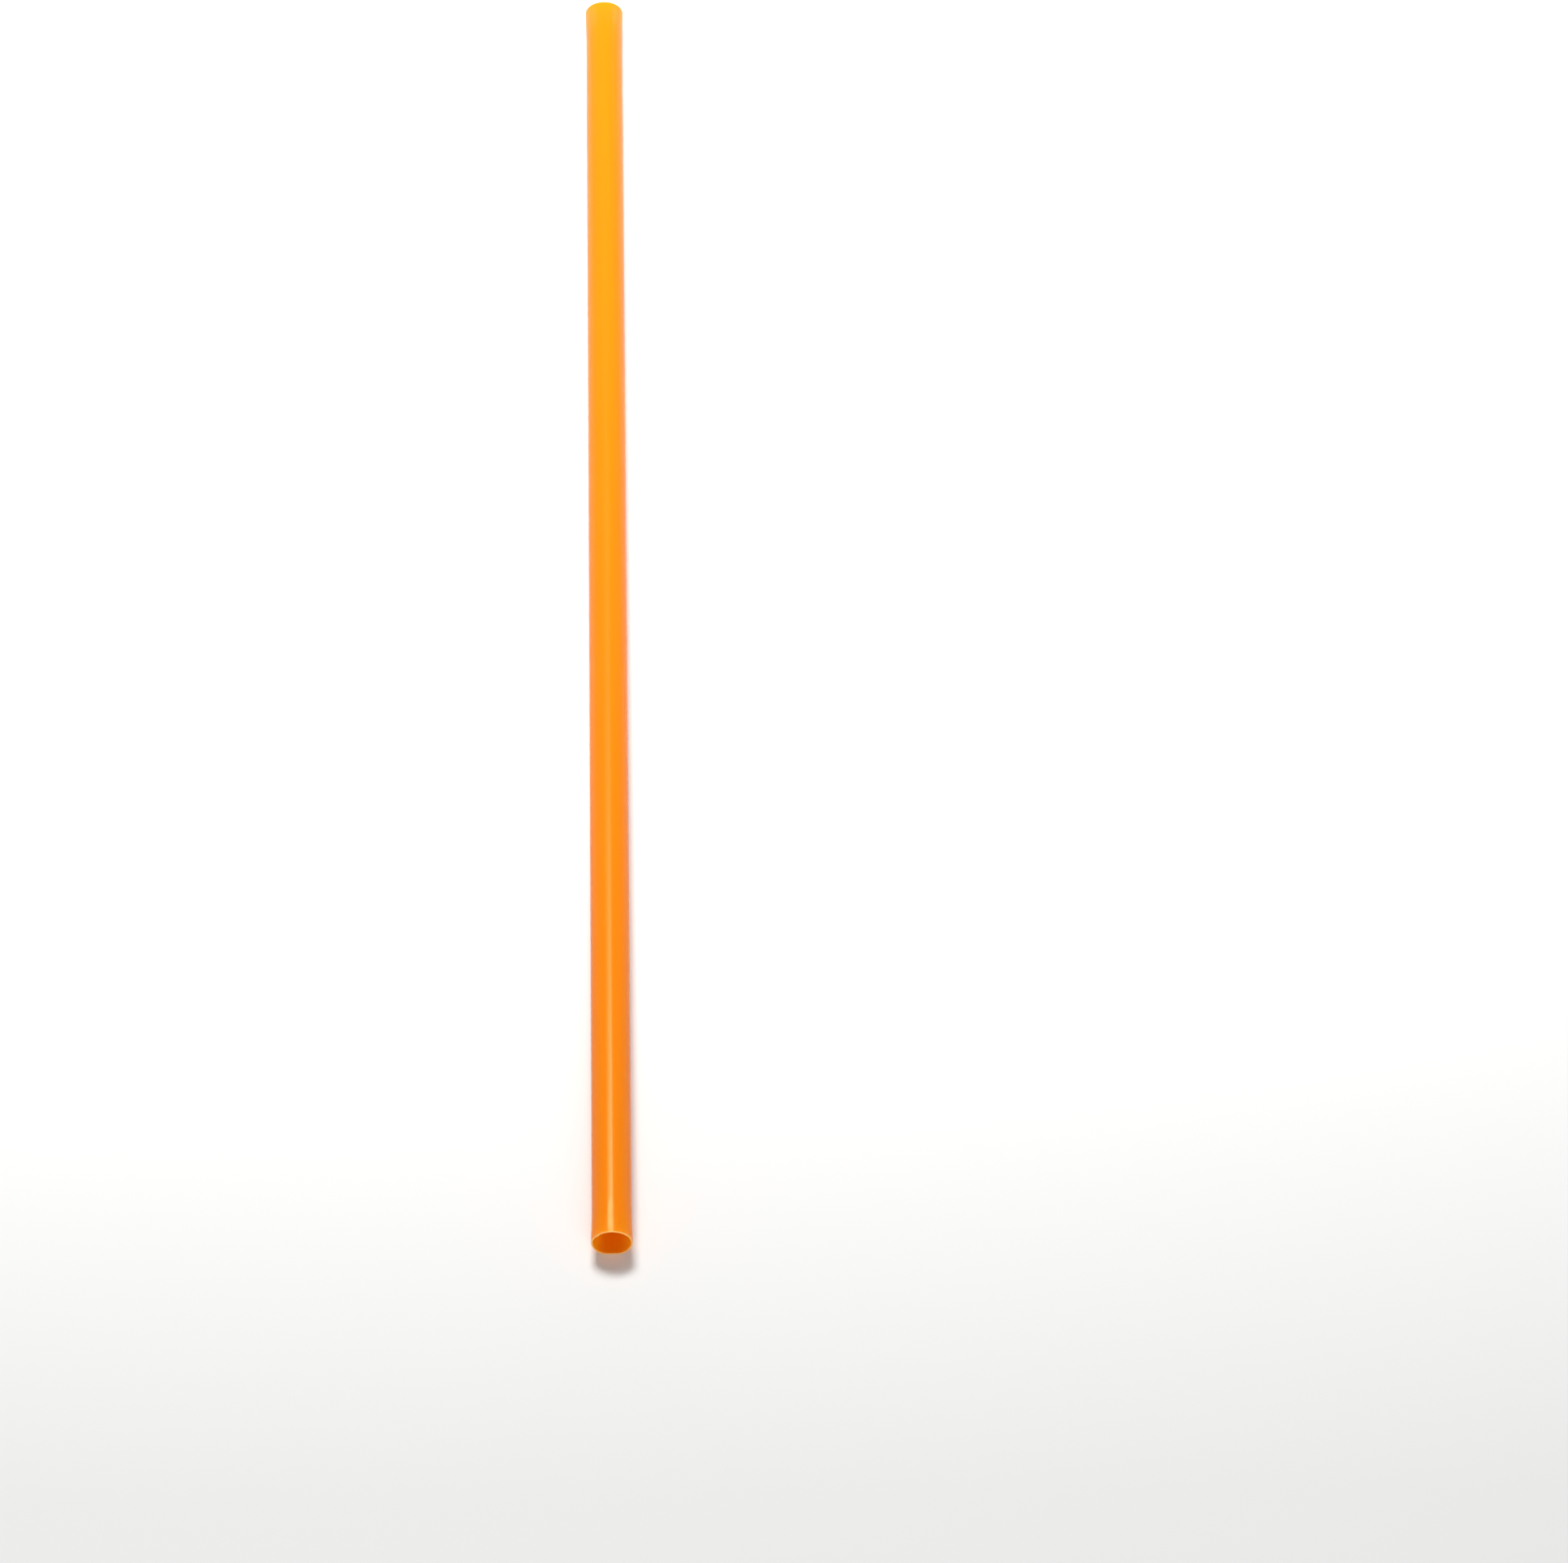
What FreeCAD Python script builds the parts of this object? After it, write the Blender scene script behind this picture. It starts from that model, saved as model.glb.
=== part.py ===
import FreeCAD, Part
import math
import os

# A plain straight drinking straw in millimetres, lying along Y on the plane z = 0.
# It is one extruded tube with a thin wall, round for most of its length. The knife that cut it to
# length came down from above: it pressed each end slightly oval, left a narrow flat along its bottom,
# and left the two cuts parallel but a little off square.

# Driving dimensions
length = 262.0  # along the centre line, from cut to cut
outer_diameter = 5.84
wall = 0.22
taper_length = 5.4  # each end goes from round to pinched over this length
pressed_length = 0.6  # and stays pinched from there to its cut
pinch_depth = 0.26  # how far the knife pressed the top of the tube down at a cut
bed_flat = 1.2  # width of the flat that the plane below pressed into the bottom of the tube at a cut
cut_slant = 3.0  # degrees from square, so that the top of each cut lies further towards -Y
rim_round = 0.05  # radius on the inner and outer edge of each cut
outline_points = 40  # points that each outline of a pinched end passes through

# Sizes that follow from them
outer_radius = outer_diameter / 2
inner_radius = outer_radius - wall
round_length = length - 2 * (taper_length + pressed_length)
centre_height = outer_radius  # the round part touches z = 0
spare = outer_radius  # how far an end runs on past its cut before it is trimmed

ALONG = FreeCAD.Vector(0, 1, 0)
ACROSS = FreeCAD.Vector(1, 0, 0)
UP = FreeCAD.Vector(0, 0, 1)


def centre(y):
    """The point of the centre line at y."""
    return FreeCAD.Vector(0, y, centre_height)


def reach(rise, side, half_height, half_width):
    """How far a pinched outline is from its middle, in the direction with these parts up and across.

    The outline's upper half is half an ellipse. Its lower half is a flat between two quarters of a
    narrower ellipse, which meet the upper half and the flat smoothly.
    """
    half_flat = bed_flat / 2 if rise < 0 else 0
    if abs(side) * half_height < half_flat * abs(rise):
        return half_height / abs(rise)
    quarter_width = half_width - half_flat
    up = rise / half_height
    across = abs(side) / quarter_width
    aside = half_flat / quarter_width
    square = up**2 + across**2
    return (across * aside + math.sqrt(square - (up * aside) ** 2)) / square


def round_outline(radius, y):
    """A circle round the centre line at y, which starts at its highest point."""
    circle = Part.Circle(centre(y), ALONG, radius)
    circle.XAxis = UP
    return Part.Wire(circle.toShape())


def pinched_outline(radius, y):
    """What the circle round the centre line at y becomes where it is pinched.

    It starts at its highest point, which is pressed down, and its lowest point stays where it was.
    The wall bends and hardly stretches, so the width grows as the height shrinks.
    """
    half_height = radius - pinch_depth / 2
    half_width = math.sqrt(2 * radius**2 - half_height**2)
    middle = centre(y) - UP * pinch_depth / 2
    points = []
    for step in range(outline_points):
        turn = 2 * math.pi * step / outline_points
        rise = math.cos(turn)
        side = math.sin(turn)
        distance = reach(rise, side, half_height, half_width)
        points.append(middle + (UP * rise + ACROSS * side) * distance)
    curve = Part.BSplineCurve()
    curve.interpolate(Points=points, PeriodicFlag=True)
    return Part.Wire(curve.toShape())


def pinched_end(radius, towards):
    """One end of a solid rod, from the round part out past the cut, at -Y or +Y as towards is -1 or 1."""
    outlines = [
        round_outline(radius, towards * round_length / 2),
        pinched_outline(radius, towards * (length / 2 - pressed_length)),
        pinched_outline(radius, towards * (length / 2 + spare)),
    ]
    return Part.makeLoft(outlines, True, True)


def rod(radius):
    """A solid rod with the form of the tube's outside or inside, too long at both ends."""
    middle = Part.makeCylinder(radius, round_length, centre(-round_length / 2), ALONG)
    return middle.fuse([pinched_end(radius, -1), pinched_end(radius, 1)])


def between_the_cuts():
    """A block that holds what lies between the two cuts, with both ends leaning as the cuts do."""
    lean = FreeCAD.Vector(0, -math.tan(math.radians(cut_slant)), 1) * outer_diameter
    near = centre(-length / 2) - ACROSS * outer_diameter
    far = centre(length / 2) - ACROSS * outer_diameter
    side = Part.makePolygon([near - lean, near + lean, far + lean, far - lean, near - lean])
    return Part.Face(side).extrude(ACROSS * 2 * outer_diameter)


def rim_edges(tube):
    """The inner and outer edge of each cut, which are the edges of the only flat faces."""
    flat_faces = [face for face in tube.Faces if isinstance(face.Surface, Part.Plane)]
    return [edge for face in flat_faces for edge in face.Edges]


def straw_tube():
    """The whole straw: its outside less its inside, trimmed at the cuts, with the rims eased."""
    hollow = rod(outer_radius).cut(rod(inner_radius))
    tube = hollow.common(between_the_cuts()).Solids[0]
    return tube.makeFillet(rim_round, rim_edges(tube)).Solids[0]


os.makedirs("parts", exist_ok=True)
straw_tube().exportStep("parts/straw_tube.step")
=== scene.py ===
import math
import bpy
import numpy as np
from mathutils import Matrix, Vector


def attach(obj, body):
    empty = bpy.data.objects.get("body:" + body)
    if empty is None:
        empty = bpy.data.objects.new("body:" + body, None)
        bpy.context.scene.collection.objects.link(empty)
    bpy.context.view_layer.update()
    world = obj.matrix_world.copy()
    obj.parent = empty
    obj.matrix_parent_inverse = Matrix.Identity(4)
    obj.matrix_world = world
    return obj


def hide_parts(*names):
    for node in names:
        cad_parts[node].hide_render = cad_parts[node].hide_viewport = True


# A plain orange drinking straw lying along Y on a pale floor. Everything is in metres.

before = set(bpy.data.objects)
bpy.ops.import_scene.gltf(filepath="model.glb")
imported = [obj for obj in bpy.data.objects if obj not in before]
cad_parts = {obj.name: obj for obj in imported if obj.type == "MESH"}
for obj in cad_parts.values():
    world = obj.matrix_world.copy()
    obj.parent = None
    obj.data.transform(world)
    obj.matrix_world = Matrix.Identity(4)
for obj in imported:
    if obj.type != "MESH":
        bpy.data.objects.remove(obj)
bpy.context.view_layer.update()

MM = 0.001

# The straw's sizes, the same as the CAD node's
LENGTH = 262.0 * MM
OUTER_RADIUS = 2.92 * MM
WALL = 0.22 * MM
TAPER_LENGTH = 5.4 * MM
PRESSED_LENGTH = 0.6 * MM
PINCH_DEPTH = 0.26 * MM
HALF_FLAT = 0.6 * MM
CUT_SLANT = math.radians(3.0)
RIM_ROUND = 0.05 * MM
AXIS_HEIGHT = OUTER_RADIUS

# A burr that the knife left inside the near cut, at its upper left. The CAD node has none.
BURR_TURN = math.radians(310.0)
BURR_HALF_WIDTH = math.radians(11.0)
BURR_DEPTH = 0.16 * MM
BURR_LENGTH = 0.5 * MM

# How the mesh is divided
AROUND = 160  # points round each ring
MIDDLE_RINGS = 110
END_RINGS = 26  # closer together towards each cut, over this length
END_LENGTH = 9.0 * MM
END_CROWDING = 1.6  # 1 would space them evenly
RIM_STEPS = 5  # round each eased edge
FACE_STEPS = 3  # across the cut, between its two eased edges
LEAN_LENGTH = 18.0 * MM  # the rings lean over more and more along this length, up to the cut's slant
LEAN_PASSES = 4  # a place's lean depends on its height, which depends on where the lean puts it
PAINTED_GLOW_BAND = 0.12 * MM  # the cut's paler colour, a painted glow and painted highlight, reaches this far past its eased edges

# The plastic
STREAK_SCALE = 3600.0  # fine lines along the tube, which the die leaves
STREAK_STRETCH = 0.012
CLOUD_SCALE = 60.0  # slow changes of the gloss along the tube
ROUGH_SPREAD = 0.025
PLASTIC_IOR = 1.49
MIRROR_TINT = (1.0, 1.0, 0.37, 1.0)
THROUGH_TINT = 0.3  # the power of the colour that tints light at each surface of the wall

# The floor
FLOOR_HALF = 6.0
WHITE_FROM = 0.3  # the floor starts to go white this far from the middle of the straw
WHITE_AT = 0.9

# The photograph's camera
IMAGE_WIDTH = 1932
FOCAL_PIXELS = 13205.0
SENSOR_WIDTH = 36.0
ELEVATION = math.radians(47.47)
AZIMUTH = math.radians(-0.90)
DISTANCE = 1660.5 * MM
ASIDE = -27.3 * MM
ABOVE = 28.9 * MM


def eased(share):
    """From 0 to 1 as share does, level at both ends."""
    held = np.clip(share, 0.0, 1.0)
    return held * held * (3.0 - 2.0 * held)


def ring(radius, y, turn):
    """X and Z of a surface of the tube at the places y and the angles turn from the top.

    Radius is the surface's radius where the straw is round.
    """
    pinched = eased((np.abs(y) - (LENGTH / 2 - PRESSED_LENGTH - TAPER_LENGTH)) / TAPER_LENGTH)
    rise = np.cos(turn)
    side = np.sin(turn)
    half_height = radius - PINCH_DEPTH / 2
    half_width = math.sqrt(2 * radius**2 - half_height**2)
    half_flat = np.where(rise < 0, HALF_FLAT, 0.0)
    quarter_width = half_width - half_flat
    up = rise / half_height
    across = np.abs(side) / quarter_width
    aside = half_flat / quarter_width
    square = up**2 + across**2
    curved = (across * aside + np.sqrt(np.maximum(square - (up * aside) ** 2, 0.0))) / square
    level = half_height / np.maximum(np.abs(rise), 1e-9)
    far = np.where(np.abs(side) * half_height < half_flat * np.abs(rise), level, curved)
    reach = radius + (far - radius) * pinched
    return side * reach, AXIS_HEIGHT - PINCH_DEPTH / 2 * pinched + rise * reach


def wall_path():
    """The way along the outside, over the far rim, back along the inside and over the near rim, as
    places along the straw and shares of the wall's depth from the outside."""
    end = LENGTH / 2 - RIM_ROUND
    fine = end - np.linspace(0.0, 1.0, END_RINGS + 1)[1:] ** END_CROWDING * END_LENGTH
    plain = np.linspace(-fine[-1], fine[-1], MIDDLE_RINGS)[1:-1]
    along = np.sort(np.concatenate([[-end, end], -fine, fine, plain]))
    arc = np.linspace(0.0, math.pi / 2, RIM_STEPS + 1)[1:]
    over = [(end + RIM_ROUND * math.sin(a), RIM_ROUND * (1 - math.cos(a))) for a in arc]
    face = np.linspace(RIM_ROUND, WALL - RIM_ROUND, FACE_STEPS + 1)[1:-1]
    flat = [(LENGTH / 2, depth) for depth in face]
    back = [(place, WALL - depth) for place, depth in reversed(over)]
    far_rim = over + flat + back
    near_rim = [(-place, WALL - depth) for place, depth in far_rim]
    outside = [(place, 0.0) for place in along]
    inside = [(place, WALL) for place in along[::-1]]
    path = np.array(outside + far_rim + inside + near_rim)
    return path[:, 0], path[:, 1] / WALL


def straw_mesh():
    """The whole wall as one closed mesh of quads, with material 1 at the cuts, whose paler colour is a
    painted glow, and 0 elsewhere.
    """
    places, depths = wall_path()
    turn = np.linspace(0.0, 2 * math.pi, AROUND, endpoint=False)[None, :]
    nominal = places[:, None]
    depth = depths[:, None]
    lean = eased((np.abs(nominal) - (LENGTH / 2 - LEAN_LENGTH)) / LEAN_LENGTH)
    burr = BURR_DEPTH * eased(1 - np.abs(turn - BURR_TURN) / BURR_HALF_WIDTH)
    burr = burr * eased(1 - (nominal + LENGTH / 2) / BURR_LENGTH)
    y = nominal
    for _ in range(LEAN_PASSES):
        x_out, z_out = ring(OUTER_RADIUS, y, turn)
        x_in, z_in = ring(OUTER_RADIUS - WALL, y, turn)
        x_in = x_in - burr * np.sin(turn)
        z_in = z_in - burr * np.cos(turn)
        x = x_out + (x_in - x_out) * depth
        z = z_out + (z_in - z_out) * depth
        y = nominal - lean * math.tan(CUT_SLANT) * (z - AXIS_HEIGHT)
    points = np.stack([x, y, z], axis=-1)

    index = np.arange(len(places) * AROUND).reshape(-1, AROUND)
    next_row = np.roll(index, -1, axis=0)
    next_turn = np.roll(index, -1, axis=1)
    both = np.roll(next_row, -1, axis=1)
    quads = np.stack([index, next_row, both, next_turn], axis=-1).reshape(-1, 4)
    mesh = bpy.data.meshes.new("straw_tube_look")
    mesh.from_pydata(points.reshape(-1, 3).tolist(), [], quads.tolist())
    mesh.update()
    mesh.shade_smooth()
    # The cuts and a thin band past their eased edges take the paler material: a painted glow of light
    # carried along the wall to the cut, and a painted highlight on the eased edges.
    painted_glow_faces = np.repeat(np.abs(places) > LENGTH / 2 - RIM_ROUND - PAINTED_GLOW_BAND, AROUND)
    painted_glow_faces &= np.roll(painted_glow_faces, -AROUND)
    mesh.polygons.foreach_set("material_index", painted_glow_faces.astype(np.int32))
    return mesh


def plastic(name, pale, deep, rough, gloss, through, streak_height):
    """Polypropylene tinted right through, of which some light comes through the wall.

    Light that comes through passes both of the wall's surfaces, so each of them tints it by less.
    """
    material = bpy.data.materials.new(name)
    material.use_nodes = True
    nodes = material.node_tree.nodes
    links = material.node_tree.links
    nodes.clear()
    output = nodes.new("ShaderNodeOutputMaterial")
    mixed = nodes.new("ShaderNodeMixShader")
    surface = nodes.new("ShaderNodeBsdfPrincipled")
    behind = nodes.new("ShaderNodeBsdfTranslucent")
    place = nodes.new("ShaderNodeTexCoord")
    stretch = nodes.new("ShaderNodeMapping")
    stretch.inputs["Scale"].default_value = (1.0, STREAK_STRETCH, 1.0)
    links.new(place.outputs["Object"], stretch.inputs["Vector"])
    streaks = nodes.new("ShaderNodeTexNoise")
    streaks.inputs["Scale"].default_value = STREAK_SCALE
    streaks.inputs["Detail"].default_value = 3.0
    links.new(stretch.outputs["Vector"], streaks.inputs["Vector"])
    cloud = nodes.new("ShaderNodeTexNoise")
    cloud.inputs["Scale"].default_value = CLOUD_SCALE
    cloud.inputs["Detail"].default_value = 2.0
    links.new(place.outputs["Object"], cloud.inputs["Vector"])

    colour = nodes.new("ShaderNodeMix")
    colour.data_type = "RGBA"
    colour.inputs[6].default_value = (*deep, 1.0)
    colour.inputs[7].default_value = (*pale, 1.0)
    links.new(streaks.outputs["Fac"], colour.inputs[0])
    links.new(colour.outputs[2], surface.inputs["Base Color"])
    tint = nodes.new("ShaderNodeGamma")
    tint.inputs["Gamma"].default_value = THROUGH_TINT
    links.new(colour.outputs[2], tint.inputs["Color"])
    links.new(tint.outputs["Color"], behind.inputs["Color"])

    roughness = nodes.new("ShaderNodeMapRange")
    roughness.inputs["To Min"].default_value = rough - ROUGH_SPREAD
    roughness.inputs["To Max"].default_value = rough + ROUGH_SPREAD
    links.new(cloud.outputs["Fac"], roughness.inputs["Value"])
    links.new(roughness.outputs["Result"], surface.inputs["Roughness"])
    surface.inputs["IOR"].default_value = PLASTIC_IOR
    surface.inputs["Specular IOR Level"].default_value = gloss
    surface.inputs["Specular Tint"].default_value = MIRROR_TINT

    bump = nodes.new("ShaderNodeBump")
    bump.inputs["Strength"].default_value = 0.35
    bump.inputs["Distance"].default_value = streak_height
    links.new(streaks.outputs["Fac"], bump.inputs["Height"])
    links.new(bump.outputs["Normal"], surface.inputs["Normal"])

    mixed.inputs["Fac"].default_value = through
    links.new(surface.outputs["BSDF"], mixed.inputs[1])
    links.new(behind.outputs["BSDF"], mixed.inputs[2])
    links.new(mixed.outputs["Shader"], output.inputs["Surface"])
    return material


def add_straw():
    straw = bpy.data.objects.new("straw_tube_look", straw_mesh())
    bpy.context.scene.collection.objects.link(straw)
    straw.data.materials.append(plastic(
        "orange_plastic", pale=(0.95, 0.31, 0.001), deep=(0.91, 0.275, 0.0005),
        rough=0.22, gloss=0.29, through=0.45, streak_height=0.0025 * MM))
    # The cut's paler colour is partly painted light: a painted glow where light carried through the
    # wall comes out at the cut, and a painted highlight on its eased edges. Partly it is the rough
    # cut's own paler look.
    straw.data.materials.append(plastic(
        "orange_plastic_cut_painted_glow", pale=(1.0, 0.64, 0.2), deep=(0.98, 0.56, 0.14),
        rough=0.4, gloss=0.3, through=0.4, streak_height=0.008 * MM))
    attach(straw, "root")
    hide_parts("straw_tube")


def looks_that_way(nodes, links):
    """1 for the rays that show what lies there, straight, mirrored or seen through, and 0 for light."""
    ray = nodes.new("ShaderNodeLightPath")
    shown = ray.outputs["Is Camera Ray"]
    for kind in ("Is Glossy Ray", "Is Transmission Ray"):
        either = nodes.new("ShaderNodeMath")
        either.operation = "MAXIMUM"
        links.new(shown, either.inputs[0])
        links.new(ray.outputs[kind], either.inputs[1])
        shown = either.outputs[0]
    return shown


def floor_material():
    """Pale paper that holds the shadow near the straw and looks white far from it, where no lamp
    reaches. From below it can't be seen."""
    material = bpy.data.materials.new("pale_floor")
    material.use_nodes = True
    nodes = material.node_tree.nodes
    links = material.node_tree.links
    paper = nodes["Principled BSDF"]
    paper.inputs["Base Color"].default_value = (0.86, 0.86, 0.85, 1.0)
    paper.inputs["Roughness"].default_value = 0.9
    paper.inputs["Specular IOR Level"].default_value = 0.2
    spot = nodes.new("ShaderNodeNewGeometry")
    away = nodes.new("ShaderNodeVectorMath")
    away.operation = "LENGTH"
    links.new(spot.outputs["Position"], away.inputs[0])
    far = nodes.new("ShaderNodeMapRange")
    far.inputs["From Min"].default_value = WHITE_FROM
    far.inputs["From Max"].default_value = WHITE_AT
    links.new(away.outputs["Value"], far.inputs["Value"])
    share = nodes.new("ShaderNodeMath")
    share.operation = "MULTIPLY"
    links.new(far.outputs["Result"], share.inputs[0])
    links.new(looks_that_way(nodes, links), share.inputs[1])
    white = nodes.new("ShaderNodeEmission")
    top = nodes.new("ShaderNodeMixShader")
    links.new(share.outputs["Value"], top.inputs["Fac"])
    links.new(paper.outputs["BSDF"], top.inputs[1])
    links.new(white.outputs["Emission"], top.inputs[2])
    below = nodes.new("ShaderNodeBsdfTransparent")
    mixed = nodes.new("ShaderNodeMixShader")
    links.new(spot.outputs["Backfacing"], mixed.inputs["Fac"])
    links.new(top.outputs["Shader"], mixed.inputs[1])
    links.new(below.outputs["BSDF"], mixed.inputs[2])
    links.new(mixed.outputs["Shader"], nodes["Material Output"].inputs["Surface"])
    return material


def add_floor():
    mesh = bpy.data.meshes.new("floor")
    signs = [(-1, -1), (1, -1), (1, 1), (-1, 1)]
    corners = [(FLOOR_HALF * x, FLOOR_HALF * y, 0.0) for x, y in signs]
    mesh.from_pydata(corners, [], [(0, 1, 2, 3)])
    floor = bpy.data.objects.new("floor", mesh)
    bpy.context.scene.collection.objects.link(floor)
    floor.data.materials.append(floor_material())


def add_lamp(name, place, aim, size, watts):
    """A white rectangular lamp at a place, which faces the point aim."""
    data = bpy.data.lights.new(name, "AREA")
    data.shape = "RECTANGLE"
    data.size, data.size_y = size
    data.energy = watts
    lamp = bpy.data.objects.new(name, data)
    lamp.location = place
    lamp.rotation_euler = (Vector(aim) - Vector(place)).to_track_quat("-Z", "Y").to_euler()
    bpy.context.scene.collection.objects.link(lamp)


def light_world(seen, strength):
    """A white world that is as bright as seen where it shows, and lights with this strength."""
    world = bpy.data.worlds.new("studio")
    bpy.context.scene.world = world
    world.use_nodes = True
    nodes = world.node_tree.nodes
    links = world.node_tree.links
    back = nodes["Background"]
    back.inputs["Color"].default_value = (1.0, 1.0, 1.0, 1.0)
    level = nodes.new("ShaderNodeMapRange")
    level.inputs["To Min"].default_value = strength
    level.inputs["To Max"].default_value = seen
    links.new(looks_that_way(nodes, links), level.inputs["Value"])
    links.new(level.outputs["Result"], back.inputs["Strength"])


def add_camera():
    back = Vector((math.sin(AZIMUTH) * math.cos(ELEVATION), -math.cos(AZIMUTH) * math.cos(ELEVATION),
                   math.sin(ELEVATION)))
    right = (-back).cross(Vector((0.0, 0.0, 1.0))).normalized()
    up = right.cross(-back)
    data = bpy.data.cameras.new("camera")
    data.sensor_width = SENSOR_WIDTH
    data.lens = SENSOR_WIDTH * FOCAL_PIXELS / IMAGE_WIDTH
    data.clip_start = 0.05
    data.clip_end = 50.0
    camera = bpy.data.objects.new("camera", data)
    place = Vector((0.0, 0.0, AXIS_HEIGHT)) + back * DISTANCE - right * ASIDE - up * ABOVE
    turned = Matrix((right, up, back)).transposed().to_4x4()
    camera.matrix_world = Matrix.Translation(place) @ turned
    bpy.context.scene.collection.objects.link(camera)
    bpy.context.scene.camera = camera


add_straw()
add_floor()
add_camera()
light_world(seen=1.0, strength=0.17)
add_lamp("softbox", place=(-0.1, 0.47, 0.85), aim=(0.0, -0.1, 0.0), size=(0.42, 0.21), watts=8.8)
add_lamp("far", place=(0.0, 0.1, 0.47), aim=(0.0, 0.9, 0.0), size=(0.3, 0.16), watts=3.8)
add_lamp("behind", place=(0.0, 0.45, 0.06), aim=(0.0, 0.13, 0.0), size=(0.5, 0.1), watts=0.7)
add_lamp("front", place=(0.1, -1.1, 0.5), aim=(0.0, -0.05, 0.0), size=(0.9, 0.4), watts=5.2)

bpy.context.scene.view_settings.view_transform = "Standard"
